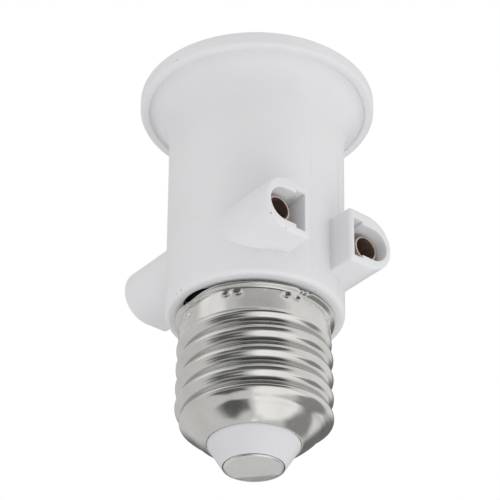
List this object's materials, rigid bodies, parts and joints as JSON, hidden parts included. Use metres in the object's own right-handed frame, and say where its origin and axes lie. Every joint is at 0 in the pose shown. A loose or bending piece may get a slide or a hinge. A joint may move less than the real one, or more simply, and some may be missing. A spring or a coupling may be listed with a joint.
{
  "type": "lamp socket adapter",
  "caption": "White screw-in lamp socket adapter: nickel screw cap below, hooded two-pin outlets on opposite sides, and an open lamp socket with a flared rim above.",
  "frame": {"origin": "centre of the tip contact's flat face, on the adapter's axis", "axes": "+Z along the axis from the tip contact to the open socket mouth; outlets look along -Y and +Y; +X is the neutral side"},
  "size_m": [0.0419, 0.0418, 0.0733],
  "materials": {
    "white_plastic": "smooth moulded, softly glossy",
    "white_insulator": "smooth satin",
    "nickel_cap": "rolled sheet, nickel plated, satin bright",
    "tip_metal": "satin nickel",
    "socket_metal": "rolled sheet, bright",
    "sleeve_brass": "drawn, slightly tarnished",
    "spring_brass": "plain strip",
    "fastener_steel": "zinc plated",
    "live_wire": "insulated wire",
    "neutral_wire": "insulated wire",
    "solder": "dull"
  },
  "bodies": {
    "adapter": {"housing": "white_plastic", "neutral_bar": "spring_brass", "live_bar": "spring_brass", "screw_cap": "nickel_cap", "cap_insulator": "white_insulator", "tip_contact": "tip_metal", "socket_shell": "socket_metal", "socket_base": "white_insulator", "base_screws": "fastener_steel", "tongue_rivet": "fastener_steel", "neutral_rivet": "fastener_steel", "live_lead": "live_wire", "neutral_lead": "neutral_wire", "cap_solder": "solder", "sleeve_front_neutral": "sleeve_brass", "sleeve_front_live": "sleeve_brass", "sleeve_back_neutral": "sleeve_brass", "sleeve_back_live": "sleeve_brass"},
    "tongue": {"centre_tongue": "spring_brass"}
  },
  "joints": [
    {"name": "tongue_bend", "type": "hinge", "parent": "adapter", "child": "tongue", "pos_m": [-0.0061, 0, 0.0486], "axis": [0, 1, 0], "range_deg": [0, 7], "stiffness_Nm_per_rad": 0.3}
  ]
}
